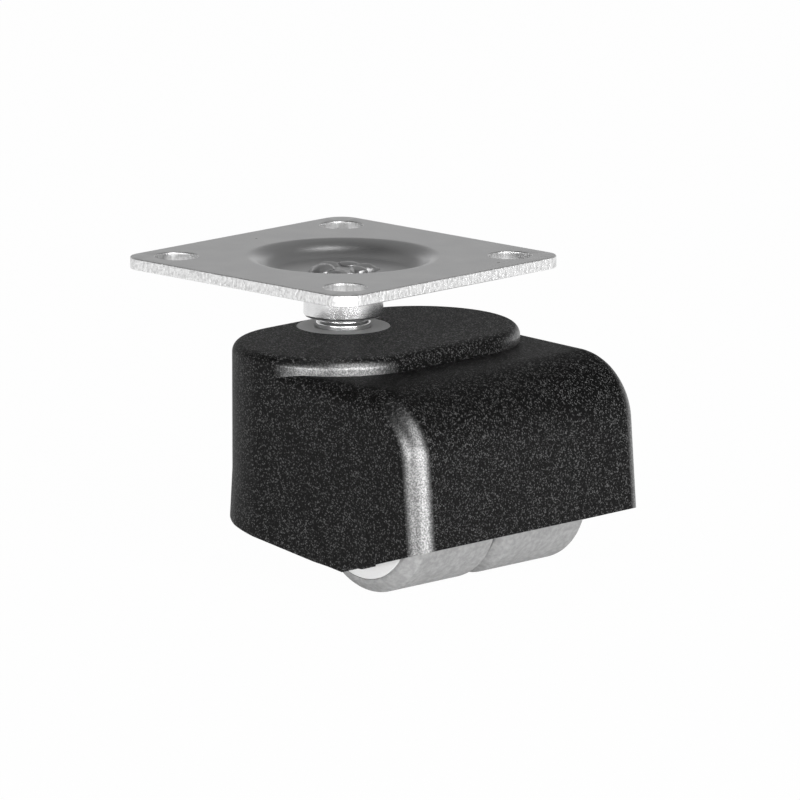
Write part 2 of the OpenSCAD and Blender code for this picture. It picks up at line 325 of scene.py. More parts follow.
def moulded_grain_group():
    """Fine spark grain of a mould: a height, a speckle mask and a mask of single grains, which the housing
    paints bright as glints.
    """
    tree, given, result = open_group(
        "moulded_grain", "ShaderNodeTree",
        {"Grain Scale": ("NodeSocketFloat", 5000.0), "Fine Scale": ("NodeSocketFloat", 12000.0)},
        {"Height": "NodeSocketFloat", "Speckle": "NodeSocketFloat", "Glint": "NodeSocketFloat"},
    )
    where = place(tree, "ShaderNodeTexCoord").outputs["Object"]
    coarse = place(tree, "ShaderNodeTexNoise", {
        "Vector": where, "Scale": given.outputs["Grain Scale"], "Detail": 2.0, "Roughness": 0.6,
    }).outputs["Fac"]
    fine = place(tree, "ShaderNodeTexVoronoi", {
        "Vector": where, "Scale": given.outputs["Fine Scale"],
    }, feature="SMOOTH_F1").outputs["Distance"]
    height = place(tree, "ShaderNodeMath", {0: fine, 1: 0.35, 2: coarse}, operation="MULTIPLY_ADD")
    speckle = place(tree, "ShaderNodeMapRange", {
        "Value": coarse, "From Min": 0.38, "From Max": 0.68, "To Min": 0.0, "To Max": 1.0,
    })
    cells = place(tree, "ShaderNodeTexVoronoi", {"Vector": where, "Scale": given.outputs["Fine Scale"]})
    chance = place(tree, "ShaderNodeSeparateColor", {"Color": cells.outputs["Color"]})
    glint = place(tree, "ShaderNodeMapRange", {
        "Value": chance.outputs["Red"], "From Min": 0.74, "From Max": 1.0, "To Min": 0.0, "To Max": 1.0,
    })
    tree.links.new(height.outputs[0], result.inputs["Height"])
    tree.links.new(speckle.outputs["Result"], result.inputs["Speckle"])
    tree.links.new(glint.outputs["Result"], result.inputs["Glint"])
    return tree


def plating_group():
    """Uneven plating on steel: slow patches, fine mottle and a height."""
    tree, given, result = open_group(
        "plating", "ShaderNodeTree",
        {
            "Patch Scale": ("NodeSocketFloat", 250.0), "Mottle Scale": ("NodeSocketFloat", 4000.0),
            "Stretch": ("NodeSocketVector", (1.0, 1.0, 1.0)),
        },
        {"Patch": "NodeSocketFloat", "Mottle": "NodeSocketFloat", "Height": "NodeSocketFloat"},
    )
    where = place(tree, "ShaderNodeTexCoord").outputs["Object"]
    along = place(tree, "ShaderNodeVectorMath", {0: where, 1: given.outputs["Stretch"]}, operation="MULTIPLY")
    patch = place(tree, "ShaderNodeTexNoise", {
        "Vector": where, "Scale": given.outputs["Patch Scale"], "Detail": 3.0,
    }).outputs["Fac"]
    mottle = place(tree, "ShaderNodeTexNoise", {
        "Vector": along.outputs[0], "Scale": given.outputs["Mottle Scale"], "Detail": 2.0, "Roughness": 0.6,
    }).outputs["Fac"]
    height = place(tree, "ShaderNodeMath", {0: patch, 1: 0.6, 2: mottle}, operation="MULTIPLY_ADD")
    tree.links.new(patch, result.inputs["Patch"])
    tree.links.new(mottle, result.inputs["Mottle"])
    tree.links.new(height.outputs[0], result.inputs["Height"])
    return tree


def specks_group():
    """Rare small specks, such as dust or pin-holes in plating: a mask."""
    tree, given, result = open_group(
        "specks", "ShaderNodeTree",
        {"Spacing Scale": ("NodeSocketFloat", 120.0), "Share": ("NodeSocketFloat", 0.04)},
        {"Mask": "NodeSocketFloat"},
    )
    where = place(tree, "ShaderNodeTexCoord").outputs["Object"]
    spots = place(tree, "ShaderNodeTexVoronoi", {
        "Vector": where, "Scale": given.outputs["Spacing Scale"], "Randomness": 1.0,
    })
    mask = place(tree, "ShaderNodeMath", {
        0: spots.outputs["Distance"], 1: given.outputs["Share"],
    }, operation="LESS_THAN")
    tree.links.new(mask.outputs[0], result.inputs["Mask"])
    return tree


GRAIN = moulded_grain_group()
PLATING = plating_group()
SPECKS = specks_group()


def start_material(name, **sockets):
    """Material with a Principled shader whose plain values are set on its own sockets."""
    material = bpy.data.materials.new(name)
    material.use_nodes = True
    shader = material.node_tree.nodes["Principled BSDF"]
    for key, value in sockets.items():
        shader.inputs[key.replace("_", " ").title().replace("Ior", "IOR")].default_value = value
    return material, material.node_tree, shader


def use_group(tree, group, values):
    """Places a shared effect in a material with its own values."""
    node = place(tree, "ShaderNodeGroup", node_tree=group)
    for key, value in values.items():
        node.inputs[key].default_value = value
    return node.outputs


def ramp(tree, value, low, high, low_at=0.3, high_at=0.7):
    """Grey between two tones, as a colour, over part of a value's range."""
    node = place(tree, "ShaderNodeValToRGB", {"Fac": value})
    for element, at, tone in zip(node.color_ramp.elements, (low_at, high_at), (low, high)):
        element.position = at
        element.color = (tone[0], tone[1], tone[2], 1.0)
    return node.outputs["Color"]


def between(tree, value, low, high, low_at=0.3, high_at=0.7):
    """Number between two ends over part of a value's range."""
    return place(tree, "ShaderNodeMapRange", {
        "Value": value, "From Min": low_at, "From Max": high_at, "To Min": low, "To Max": high,
    }).outputs["Result"]


def roughen(tree, shader, height, depth, strength=1.0):
    """Bump of a depth in metres on a shader's normal."""
    bump = place(tree, "ShaderNodeBump", {"Height": height, "Distance": depth, "Strength": strength})
    tree.links.new(bump.outputs["Normal"], shader.inputs["Normal"])


def zinc_plate():
    """Satin zinc on pressed sheet; the sheared edges are rougher than the faces."""
    material, tree, shader = start_material("zinc_plate", metallic=1.0)
    effect = use_group(tree, PLATING, {"Patch Scale": 180.0, "Mottle Scale": 5200.0})
    sheared = place(tree, "ShaderNodeAttribute", attribute_name="sheared").outputs["Fac"]
    specks = use_group(tree, SPECKS, {"Spacing Scale": 110.0, "Share": 0.028})
    tone = ramp(tree, effect["Patch"], (0.63, 0.63, 0.635), (0.69, 0.69, 0.69))
    torn = use_group(tree, PLATING, {
        "Patch Scale": 900.0, "Mottle Scale": 2400.0, "Stretch": (1.0, 1.0, 0.6),
    })
    fresh = between(tree, sheared, 0.0, 1.0, 0.0, WALL_TEAR)
    torn_tone = ramp(tree, torn["Mottle"], (0.66, 0.66, 0.66), (0.86, 0.86, 0.86), 0.36, 0.56)
    cut = place(tree, "ShaderNodeMix", {0: fresh, 6: tone, 7: torn_tone}, data_type="RGBA")
    dark = place(tree, "ShaderNodeMix", {
        0: specks["Mask"], 6: cut.outputs[2], 7: (0.1, 0.1, 0.1, 1.0),
    }, data_type="RGBA")
    tree.links.new(dark.outputs[2], shader.inputs["Base Color"])
    face_rough = between(tree, effect["Mottle"], 0.33, 0.42)
    edge_rough = place(tree, "ShaderNodeMath", {0: sheared, 1: 0.06, 2: face_rough}, operation="MULTIPLY_ADD")
    tree.links.new(edge_rough.outputs[0], shader.inputs["Roughness"])
    # Torn edges stand many times deeper than the mottle of the faces
    tear_gain = 45.0
    torn_height = place(tree, "ShaderNodeMath", {0: torn["Height"], 1: sheared}, operation="MULTIPLY")
    height = place(tree, "ShaderNodeMath", {
        0: torn_height.outputs[0], 1: tear_gain, 2: effect["Mottle"],
    }, operation="MULTIPLY_ADD")
    roughen(tree, shader, height.outputs[0], 0.000003)
    return material


def pin_steel():
    """Bright turned and plated steel, slightly dimpled where it was staked."""
    material, tree, shader = start_material("pin_steel", metallic=1.0)
    effect = use_group(tree, PLATING, {
        "Patch Scale": 500.0, "Mottle Scale": 2600.0, "Stretch": (1.0, 1.0, 2.5),
    })
    tone = ramp(tree, effect["Patch"], (0.68, 0.68, 0.685), (0.76, 0.76, 0.76))
    tree.links.new(tone, shader.inputs["Base Color"])
    where = place(tree, "ShaderNodeTexCoord").outputs["Object"]
    height = place(tree, "ShaderNodeSeparateXYZ", {0: where}).outputs["Z"]
    head_band = 0.2
    head_extra = 0.2
    head_rough = between(tree, height, 0.0, head_extra, (DISH_FLOOR_Z - head_band) * MM, DISH_FLOOR_Z * MM)
    turned_rough = between(tree, effect["Mottle"], 0.16, 0.26)
    rough = place(tree, "ShaderNodeMath", {0: turned_rough, 1: head_rough}, operation="ADD")
    tree.links.new(rough.outputs[0], shader.inputs["Roughness"])
    roughen(tree, shader, effect["Height"], 0.000004)
    return material


def axle_steel():
    """Drawn bright steel with lines along its length."""
    material, tree, shader = start_material("axle_steel", metallic=1.0)
    effect = use_group(tree, PLATING, {
        "Patch Scale": 300.0, "Mottle Scale": 6000.0, "Stretch": (1.0, 0.05, 1.0),
    })
    tone = ramp(tree, effect["Patch"], (0.55, 0.55, 0.56), (0.65, 0.65, 0.65))
    tree.links.new(tone, shader.inputs["Base Color"])
    tree.links.new(between(tree, effect["Mottle"], 0.22, 0.34), shader.inputs["Roughness"])
    roughen(tree, shader, effect["Mottle"], 0.000004)
    return material


def spring_steel():
    """Dark hardened steel of the ring and the thrust disc."""
    material, tree, shader = start_material("spring_steel", metallic=1.0)
    effect = use_group(tree, PLATING, {"Patch Scale": 400.0, "Mottle Scale": 5000.0})
    tone = ramp(tree, effect["Patch"], (0.28, 0.28, 0.29), (0.38, 0.38, 0.38))
    tree.links.new(tone, shader.inputs["Base Color"])
    tree.links.new(between(tree, effect["Mottle"], 0.3, 0.45), shader.inputs["Roughness"])
    return material


def housing_black():
    """Black moulding: grain salted with bright grains that are partly random tone and partly painted glints,
    a duller boss top painted lighter as painted light, and a smoother skin on the front corners.
    """
    material, tree, shader = start_material(
        "housing_black", specular_ior_level=0.15, coat_roughness=0.36, coat_ior=2.8
    )
    effect = use_group(tree, GRAIN, {"Grain Scale": 4600.0, "Fine Scale": 6800.0})
    # Painted glints: single grains made bright in the base colour, partly the grain's random tone and partly
    # painted glints of light
    painted_glints = ramp(tree, effect["Glint"], (0.0, 0.0, 0.0), (0.1, 0.1, 0.1), 0.0, 1.0)
    inside = place(tree, "ShaderNodeTexCoord").outputs
    axes = place(tree, "ShaderNodeSeparateXYZ", {0: inside["Normal"]}).outputs
    height = place(tree, "ShaderNodeSeparateXYZ", {0: inside["Object"]}).outputs["Z"]
    up = between(tree, axes["Z"], 0.0, 1.0, 0.75, 1.0)
    above_hood = between(tree, height, 0.0, 1.0, (HOOD_TOP_Z + 1.0) * MM, BOSS_TOP_Z * MM)
    boss_top = place(tree, "ShaderNodeMath", {0: up, 1: above_hood}, operation="MULTIPLY").outputs[0]
    # Painted light: the up-facing boss top gets a lighter base colour than the walls, with the painted glints
    # on it
    painted_top_light = ramp(tree, effect["Glint"], (0.025, 0.025, 0.025), (0.2, 0.2, 0.2), 0.0, 1.0)
    tone = place(tree, "ShaderNodeMix", {0: boss_top, 6: painted_glints, 7: painted_top_light}, data_type="RGBA")
    tree.links.new(tone.outputs[2], shader.inputs["Base Color"])
    grain_rough = between(tree, effect["Speckle"], 0.6, 0.5, 0.0, 1.0)
    rough = place(tree, "ShaderNodeMath", {0: boss_top, 1: 0.12, 2: grain_rough}, operation="MULTIPLY_ADD")
    tree.links.new(rough.outputs[0], shader.inputs["Roughness"])
    # The product of the normal's X and Y parts is largest on the upright front corners
    across = place(tree, "ShaderNodeMath", {0: axes["Y"]}, operation="ABSOLUTE").outputs[0]
    turned = place(tree, "ShaderNodeMath", {0: axes["X"], 1: across}, operation="MULTIPLY").outputs[0]
    corner = between(tree, turned, 0.0, 1.0, 0.11, 0.4)
    skin = between(tree, effect["Speckle"], 0.45, 1.0, 0.2, 0.7)
    smooth_skin = place(tree, "ShaderNodeMath", {0: corner, 1: skin}, operation="MULTIPLY").outputs[0]
    tree.links.new(smooth_skin, shader.inputs["Coat Weight"])
    roughen(tree, shader, effect["Height"], 0.00005)
    return material


def bush_grey():
    """Matte mid-grey bearing plastic."""
    material, tree, shader = start_material("bush_grey", specular_ior_level=0.35)
    effect = use_group(tree, GRAIN, {"Grain Scale": 5000.0, "Fine Scale": 14000.0})
    tone = ramp(tree, effect["Speckle"], (0.48, 0.48, 0.48), (0.54, 0.54, 0.54), 0.0, 1.0)
    tree.links.new(tone, shader.inputs["Base Color"])
    tree.links.new(between(tree, effect["Speckle"], 0.6, 0.5, 0.0, 1.0), shader.inputs["Roughness"])
    roughen(tree, shader, effect["Height"], 0.00001)
    return material


def tread_grey():
    """Soft grey tread, matte with a fine tooth."""
    material, tree, shader = start_material("tread_grey", specular_ior_level=0.3)
    effect = use_group(tree, GRAIN, {"Grain Scale": 1400.0, "Fine Scale": 8000.0})
    tone = ramp(tree, effect["Speckle"], (0.32, 0.32, 0.32), (0.42, 0.42, 0.42), 0.0, 1.0)
    tree.links.new(tone, shader.inputs["Base Color"])
    tree.links.new(between(tree, effect["Speckle"], 0.66, 0.56, 0.0, 1.0), shader.inputs["Roughness"])
    roughen(tree, shader, effect["Height"], 0.000012)
    return material


def hub_white():
    """Plain white moulded hub."""
    material, tree, shader = start_material("hub_white", specular_ior_level=0.4)
    effect = use_group(tree, GRAIN, {"Grain Scale": 1800.0, "Fine Scale": 6000.0})
    tone = ramp(tree, effect["Speckle"], (0.88, 0.88, 0.875), (0.9, 0.9, 0.9), 0.0, 1.0)
    tree.links.new(tone, shader.inputs["Base Color"])
    tree.links.new(between(tree, effect["Speckle"], 0.48, 0.4, 0.0, 1.0), shader.inputs["Roughness"])
    roughen(tree, shader, effect["Height"], 0.000004)
    return material


# Plate


def square_loop(bm, inset, height):
    """Ring of vertices round the plate, set in from its outline."""
    half = PLATE_HALF - CORNER_R
    radius = CORNER_R - inset
    ring = []
    for quarter in range(4):
        start = quarter * math.pi / 2
        center = Matrix.Rotation(start, 2) @ Vector((half, half))
        for x, y in arc(center, radius, start, start + math.pi / 2, 12):
            ring.append(bm.verts.new((x, y, height)))
    return ring


def dish_profile(drop, mouth_bend, floor_bend):
    """Dish from its floor's edge to its mouth: two arcs that meet in one slope."""
    turn = 2 * math.atan2(-DISH_FLOOR_Z, MOUTH_R - FLOOR_R)
    low = arc((FLOOR_R, DISH_FLOOR_Z - drop + floor_bend), floor_bend, -math.pi / 2, turn - math.pi / 2, 12)
    high = arc((MOUTH_R, -drop - mouth_bend), mouth_bend, math.pi / 2 + turn, math.pi / 2, 12)
    return low + high[1:]


def hole_tree():
    """Geometry tree that sets one punched hole's wall at each corner of a square."""
    tree, given, result = open_group(
        "screw_holes", "GeometryNodeTree",
        {
            "Hole Wall": ("NodeSocketGeometry", None), "Spacing": ("NodeSocketFloat", 0.03),
            "Finish": ("NodeSocketMaterial", None),
        },
        {"Holes": "NodeSocketGeometry"},
    )
    corners = place(tree, "GeometryNodeMeshGrid", {
        "Size X": given.outputs["Spacing"], "Size Y": given.outputs["Spacing"],
        "Vertices X": 2, "Vertices Y": 2,
    })
    holes = place(tree, "GeometryNodeInstanceOnPoints", {
        "Points": corners.outputs["Mesh"], "Instance": given.outputs["Hole Wall"],
    })
    real = place(tree, "GeometryNodeRealizeInstances", {"Geometry": holes.outputs["Instances"]})
    done = place(tree, "GeometryNodeSetMaterial", {
        "Geometry": real.outputs["Geometry"], "Material": given.outputs["Finish"],
    })
    tree.links.new(done.outputs["Geometry"], result.inputs["Holes"])
    return tree


def punched_holes(material):
    """Walls of the four screw holes: a rolled-over lip above, a small break below."""
    bm = bmesh.new()
    lip = arc((HOLE_R + LIP_R, -LIP_R), LIP_R, math.pi / 2, math.pi, 8)
    low = [(HOLE_R, BURR_ROLL - SHEET), (HOLE_R + BURR_ROLL, -SHEET)]
    turn_profile(bm, lip + low, steps=72)
    piece = make_object("hole_walls", bm)
    run_tree(piece, hole_tree(), {"Spacing": 2 * HOLE_AT * MM, "Finish": material})
    return piece


def build_plate(material):
    """Pressed plate: dish, rolled edges, punched holes and flat faces between them."""
    bm = bmesh.new()
    sheared = bm.verts.layers.float.new("sheared")
    bend = (MOUTH_R - FLOOR_R) / 2 / math.sin(2 * math.atan2(-DISH_FLOOR_Z, MOUTH_R - FLOOR_R))
    bore = TENON_R + SEAT_FIT
    top = [(bore, DISH_FLOOR_Z)] + dish_profile(0.0, bend, bend)
    under = [(bore, DISH_UNDER_Z)] + dish_profile(SHEET, bend - SHEET, bend + SHEET)
    top_rings = turn_profile(bm, top)
    under_rings = turn_profile(bm, under)
    join_rings(bm, [top_rings[0], under_rings[0]])
    loops = []
    for x, z in arc((TOP_ROLL, -TOP_ROLL), TOP_ROLL, math.pi / 2, math.pi, 5):
        loops.append(square_loop(bm, x, z))
    for x, z in arc((BURR_ROLL, BURR_ROLL - SHEET), BURR_ROLL, math.pi, 1.5 * math.pi, 4):
        loops.append(square_loop(bm, x, z))
    join_rings(bm, loops)
    for loop in loops[1:-1]:
        for vert in loop:
            vert[sheared] = 1.0
    holes = punched_holes(material)
    start = len(bm.verts)
    bm.from_mesh(holes.data)
    bpy.data.objects.remove(holes)
    bm.verts.ensure_lookup_table()
    bmesh.ops.scale(bm, vec=(1 / MM,) * 3, verts=bm.verts[start:])
    sheared = bm.verts.layers.float["sheared"]
    for vert in bm.verts[start:]:
        if -SHEET < vert.co.z < 0:
            vert[sheared] = WALL_TEAR
    for height in (0.0, -SHEET):
        rim = [e for e in bm.edges if e.is_boundary and all(abs(v.co.z - height) < 1e-4 for v in e.verts)]
        bmesh.ops.triangle_fill(bm, edges=rim, use_beauty=True, normal=(0, 0, 1))
    piece = make_object("top_plate_pressed", bm)
    smooth(piece)
    return piece


# Pin and bush


def head_tree():
    """Geometry tree for a staked head: uneven lobes on a ring, melted into one lump round a core."""
    tree, given, result = open_group(
        "staked_head", "GeometryNodeTree",
        {
            "Geometry": ("NodeSocketGeometry", None), "Lobes": ("NodeSocketInt", 8),
            "Ring Radius": ("NodeSocketFloat", 0.003), "Lobe Radius": ("NodeSocketFloat", 0.0012),
            "Core Radius": ("NodeSocketFloat", 0.003), "Core Height": ("NodeSocketFloat", 0.0007),
            "Unevenness": ("NodeSocketFloat", 0.2), "Dent": ("NodeSocketFloat", 0.0002),
            "Voxel": ("NodeSocketFloat", 0.0001), "Seed": ("NodeSocketInt", 4),
            "Finish": ("NodeSocketMaterial", None),
        },
        {"Head": "NodeSocketGeometry"},
    )
    ring = place(tree, "GeometryNodeCurvePrimitiveCircle", {
        "Resolution": given.outputs["Lobes"], "Radius": given.outputs["Ring Radius"],
    })
    spots = place(tree, "GeometryNodeCurveToPoints", {"Curve": ring.outputs["Curve"]}, mode="EVALUATED")
    lobe = place(tree, "GeometryNodeMeshIcoSphere", {
        "Radius": given.outputs["Lobe Radius"], "Subdivisions": 4,
    })
    least = place(tree, "ShaderNodeMath", {0: 1.0, 1: given.outputs["Unevenness"]}, operation="SUBTRACT")
    most = place(tree, "ShaderNodeMath", {0: 1.0, 1: given.outputs["Unevenness"]}, operation="ADD")
    scale = place(tree, "FunctionNodeRandomValue", {
        "Min": least.outputs[0], "Max": most.outputs[0], "Seed": given.outputs["Seed"],
    }, data_type="FLOAT_VECTOR")
    lobes = place(tree, "GeometryNodeInstanceOnPoints", {
        "Points": spots.outputs["Points"], "Instance": lobe.outputs["Mesh"],
        "Rotation": spots.outputs["Rotation"], "Scale": scale.outputs["Value"],
    })
    real = place(tree, "GeometryNodeRealizeInstances", {"Geometry": lobes.outputs["Instances"]})
    core = place(tree, "GeometryNodeMeshCylinder", {
        "Vertices": 48, "Radius": given.outputs["Core Radius"], "Depth": given.outputs["Core Height"],
    })
    both = place(tree, "GeometryNodeJoinGeometry")
    tree.links.new(real.outputs["Geometry"], both.inputs[0])
    tree.links.new(core.outputs["Mesh"], both.inputs[0])
    cloud = place(tree, "GeometryNodeMeshToVolume", {
        "Mesh": both.outputs[0], "Voxel Size": given.outputs["Voxel"], "Interior Band Width": 0.0003,
    }, resolution_mode="VOXEL_SIZE")
    lump = place(tree, "GeometryNodeVolumeToMesh", {
        "Volume": cloud.outputs["Volume"], "Voxel Size": given.outputs["Voxel"], "Threshold": 0.5,
    }, resolution_mode="VOXEL_SIZE")
    noise = place(tree, "ShaderNodeTexNoise", {"Scale": 560.0, "Detail": 1.0})
    centred = place(tree, "ShaderNodeVectorMath", {0: noise.outputs["Color"], 1: (0.5, 0.5, 0.5)},
                    operation="SUBTRACT")
    push = place(tree, "ShaderNodeVectorMath", {0: centred.outputs[0], "Scale": given.outputs["Dent"]},
                 operation="SCALE")
    dented = place(tree, "GeometryNodeSetPosition", {
        "Geometry": lump.outputs["Mesh"], "Offset": push.outputs[0],
    })
    done = place(tree, "GeometryNodeRealizeInstances", {"Geometry": dented.outputs["Geometry"]})
    finished = place(tree, "GeometryNodeSetMaterial", {
        "Geometry": done.outputs["Geometry"], "Material": given.outputs["Finish"],
    })
    tree.links.new(finished.outputs["Geometry"], result.inputs["Head"])
    return tree


def staked_head(material):
    """Head of the pin, cut level where it lies on the dish floor."""
    lobe_r = 1.7
    head_h = PIN_HIGH.z - DISH_FLOOR_Z
    smoothing_passes = 7
    piece = bpy.data.objects.new("head_lump", bpy.data.meshes.new("head_lump"))
    bpy.context.scene.collection.objects.link(piece)
    run_tree(piece, head_tree(), {
        "Lobes": 6, "Ring Radius": (HEAD_R - lobe_r) * MM, "Lobe Radius": lobe_r * MM,
        "Core Radius": 2.2 * MM, "Core Height": 1.0 * MM, "Unevenness": 0.25,
        "Dent": 0.8 * MM, "Voxel": 0.09 * MM, "Seed": 5, "Finish": material,
    })
    bm = bmesh.new()
    bm.from_mesh(piece.data)
    bpy.data.objects.remove(piece)
    bmesh.ops.scale(bm, vec=(1 / MM,) * 3, verts=bm.verts)
    for _ in range(smoothing_passes):
        bmesh.ops.smooth_vert(
            bm, verts=bm.verts, factor=0.5, use_axis_x=True, use_axis_y=True, use_axis_z=True
        )
    bmesh.ops.bisect_plane(
        bm, geom=bm.verts[:] + bm.edges[:] + bm.faces[:],
        plane_co=(0, 0, 0), plane_no=(0, 0, 1), clear_inner=True,
    )
    bmesh.ops.holes_fill(bm, edges=[e for e in bm.edges if e.is_boundary])
    bmesh.ops.scale(bm, vec=(1, 1, head_h / max(v.co.z for v in bm.verts)), verts=bm.verts)
    bmesh.ops.translate(bm, vec=(0, 0, DISH_FLOOR_Z), verts=bm.verts)
    return make_object("head_lump", bm)


def build_pin(material):
    """Turned pin: tenon, collar, undercut, shank with a ring groove and a bevelled tip."""
    undercut = 0.3
    undercut_h = 0.5
    undercut_end = 0.8
    inside_head = 0.3
    groove_top = RING_HIGH.z + GROOVE_PLAY
    groove_low = RING_LOW.z - GROOVE_PLAY
    profile = rounded([
        (0, DISH_FLOOR_Z + inside_head, 0), (TENON_R, DISH_FLOOR_Z + inside_head, 0),
        (TENON_R, DISH_UNDER_Z, 0), (COLLAR_R, DISH_UNDER_Z, 0.15), (COLLAR_R, COLLAR_LOW_Z, 0.4),
        (SHANK_R - undercut, COLLAR_LOW_Z, 0.1), (SHANK_R - undercut, COLLAR_LOW_Z - undercut_h, 0.15),
        (SHANK_R, COLLAR_LOW_Z - undercut_end, 0.3),
        (SHANK_R, groove_top, 0.1), (GROOVE_R, groove_top, 0), (GROOVE_R, groove_low, 0),
        (SHANK_R, groove_low, 0.1), (SHANK_R, PIN_LOW.z + SHANK_R - TIP_R, 0.2), (TIP_R, PIN_LOW.z, 0.2),
        (0, PIN_LOW.z, 0),
    ])
    bm = bmesh.new()
    turn_profile(bm, profile)
    piece = make_object("swivel_pin_turned", bm)
    combine(piece, staked_head(material), "UNION")
    smooth(piece)
    return piece


def build_bush():
    """Flanged bush with softly broken edges."""
    bore = SHANK_R + RUN_FIT
    top = BUSH_HIGH.z
    flange_r = BUSH_HIGH.x
    profile = rounded([
        (bore, BUSH_LOW.z, 0.1), (bore, top, 0.35),
        (flange_r, top, 0.15), (flange_r, top - BUSH_FLANGE_T, 0.1),
        (BUSH_BODY_R, top - BUSH_FLANGE_T, 0), (BUSH_BODY_R, BUSH_LOW.z, 0.3),
    ])
    bm = bmesh.new()
    turn_profile(bm, profile, ring=True)
    piece = make_object("pin_bush_turned", bm)
    smooth(piece)
    return piece


# Housing


def boss_solid(inset, high, edge_r):
    """Boss with two round ends in plan, cut off flush with the side walls, its foot flared."""
    radius = BOSS_R - inset
    side = HALF_W - inset
    foot_z = AXLE_Z + FOOT_RISE
    levels = [(radius + (foot_z + PAST) * math.tan(FOOT_LEAN), -PAST), (radius, foot_z)]
    if edge_r:
        levels += arc((radius - edge_r, high - edge_r), edge_r, 0, math.pi / 2, 10)
    else:
        levels.append((radius, high))
    bm = bmesh.new()
    rings = []
    for reach, height in levels:
        ring = []
        for end in (1, -1):
            start = 0 if end > 0 else math.pi
            for x, y in arc((BOSS_X, end * BOSS_SPREAD), reach, start, start + math.pi, 72):
                ring.append(bm.verts.new((x, max(-side, min(side, y)), height)))
        rings.append(ring)
    join_rings(bm, rings)
    bm.faces.new(rings[0])
    bm.faces.new(rings[-1])
    return make_object("boss", bm)


def hood_outline(inset, edge_r):
    """Side outline of the hood, boss to front foot, as (point, outward normal, edge radius)."""
    reach = ROUND_R - inset
    round_z = HOOD_TOP_Z - ROUND_R
    round_x = FRONT_X - (ROUND_R + math.sin(DRAFT) * (round_z - RIM_FRONT_Z)) / math.cos(DRAFT)
    half = HALF_W - BOSS_SPREAD
    fade_x = BOSS_X + math.sqrt(BOSS_R ** 2 - half ** 2)
    up = Vector((0, 1))
    front = Vector((math.cos(DRAFT), math.sin(DRAFT)))
    fall = Vector((math.sin(DRAFT), -math.cos(DRAFT)))
    center = Vector((round_x, round_z))
    least = edge_r * EDGE_AT_BOSS
    outline = [(Vector((BOSS_X, -PAST)), up, least), (Vector((BOSS_X, round_z + reach)), up, least)]
    steps = 24
    for i in range(steps):
        share = i / steps
        x = fade_x + (round_x - fade_x) * share
        outline.append((Vector((x, round_z + reach)), up, least + (edge_r - least) * share))
    for x, z in arc((0, 0), 1.0, math.pi / 2, DRAFT, 40):
        outline.append((center + Vector((x, z)) * reach, Vector((x, z)), edge_r))
    outline.append((center + front * reach + fall * PAST, front, edge_r))
    return outline


def hood_solid(inset, edge_r):
    """Hood over the rollers; its side edges round out from the boss towards the front."""
    side = HALF_W - inset
    outline = hood_outline(inset, edge_r)
    bm = bmesh.new()
    steps = 10 if edge_r else 0
    turns = [math.pi / 2 * i / steps if steps else math.pi / 2 for i in range(steps + 1)]
    halves = {}
    for end in (1, -1):
        halves[end] = []
        for turn in turns:
            ring = []
            for point, normal, edge in outline:
                spot = point - normal * edge * (1 - math.cos(turn))
                ring.append(bm.verts.new((spot.x, end * (side - edge * (1 - math.sin(turn))), spot.y)))
            halves[end].append(ring)
    rings = halves[-1][::-1] + halves[1]
    join_rings(bm, rings)
    bm.faces.new(rings[0])
    bm.faces.new(rings[-1])
    return make_object("hood", bm)


def prism(outline, low_y, high_y):
    """Closed prism along Y over an outline of (x, z) points."""
    bm = bmesh.new()
    rings = [[bm.verts.new((x, y, z)) for x, z in outline] for y in (low_y, high_y)]
    join_rings(bm, rings)
    bm.faces.new(rings[0])
    bm.faces.new(rings[1])
    return make_object("prism", bm)


def rod(radius, low, high):
    """Closed round solid on the swivel axis."""
    bm = bmesh.new()
    turn_profile(bm, [(0, low), (radius, low), (radius, high), (0, high)])
    return make_object("rod", bm)


def rim_cutter():
    """Everything below the rim, which is lowest under the axle."""
    back_z = RIM_LOW_Z + math.tan(RIM_BACK_RISE) * (TRAIL + PAST)
    front_z = RIM_LOW_Z + (RIM_FRONT_Z - RIM_LOW_Z) / (FRONT_X - TRAIL) * (PAST - TRAIL)
    outline = [(-PAST, back_z), (TRAIL, RIM_LOW_Z), (PAST, front_z), (PAST, -2 * PAST), (-PAST, -2 * PAST)]
    return prism(outline, -PAST, PAST)


def relief_cutter(side):
    """Shallow scoop in a side wall below the axle, deepest at the rim and soft at both sides."""
    # The cutter starts just off the wall and runs on below the rim
    start = 0.02
    outside = 1.0
    reach = 1.4 * RELIEF_H
    top_z = RIM_LOW_Z + RELIEF_H
    columns, rows = 32, 16
    bm = bmesh.new()
    rings = []
    for i in range(columns + 1):
        across = (2 * i / columns - 1) * (RELIEF_W + RELIEF_SOFT) / 2
        into = min(1.0, max(0.0, ((RELIEF_W + RELIEF_SOFT) / 2 - abs(across)) / RELIEF_SOFT))
        share = (1 - math.cos(math.pi * into)) / 2
        ring = []
        for k in range(rows + 1):
            below = reach * k / rows
            depth = below * math.tan(RELIEF_LEAN) * share
            ring.append(bm.verts.new((TRAIL + across, side * (HALF_W + start - depth), top_z - below)))
        for height in (top_z - reach, top_z):
            ring.append(bm.verts.new((TRAIL + across, side * (HALF_W + outside), height)))
        rings.append(ring)
    join_rings(bm, rings)
    bm.faces.new(rings[0])
    bm.faces.new(rings[-1])
    return make_object("relief", bm)


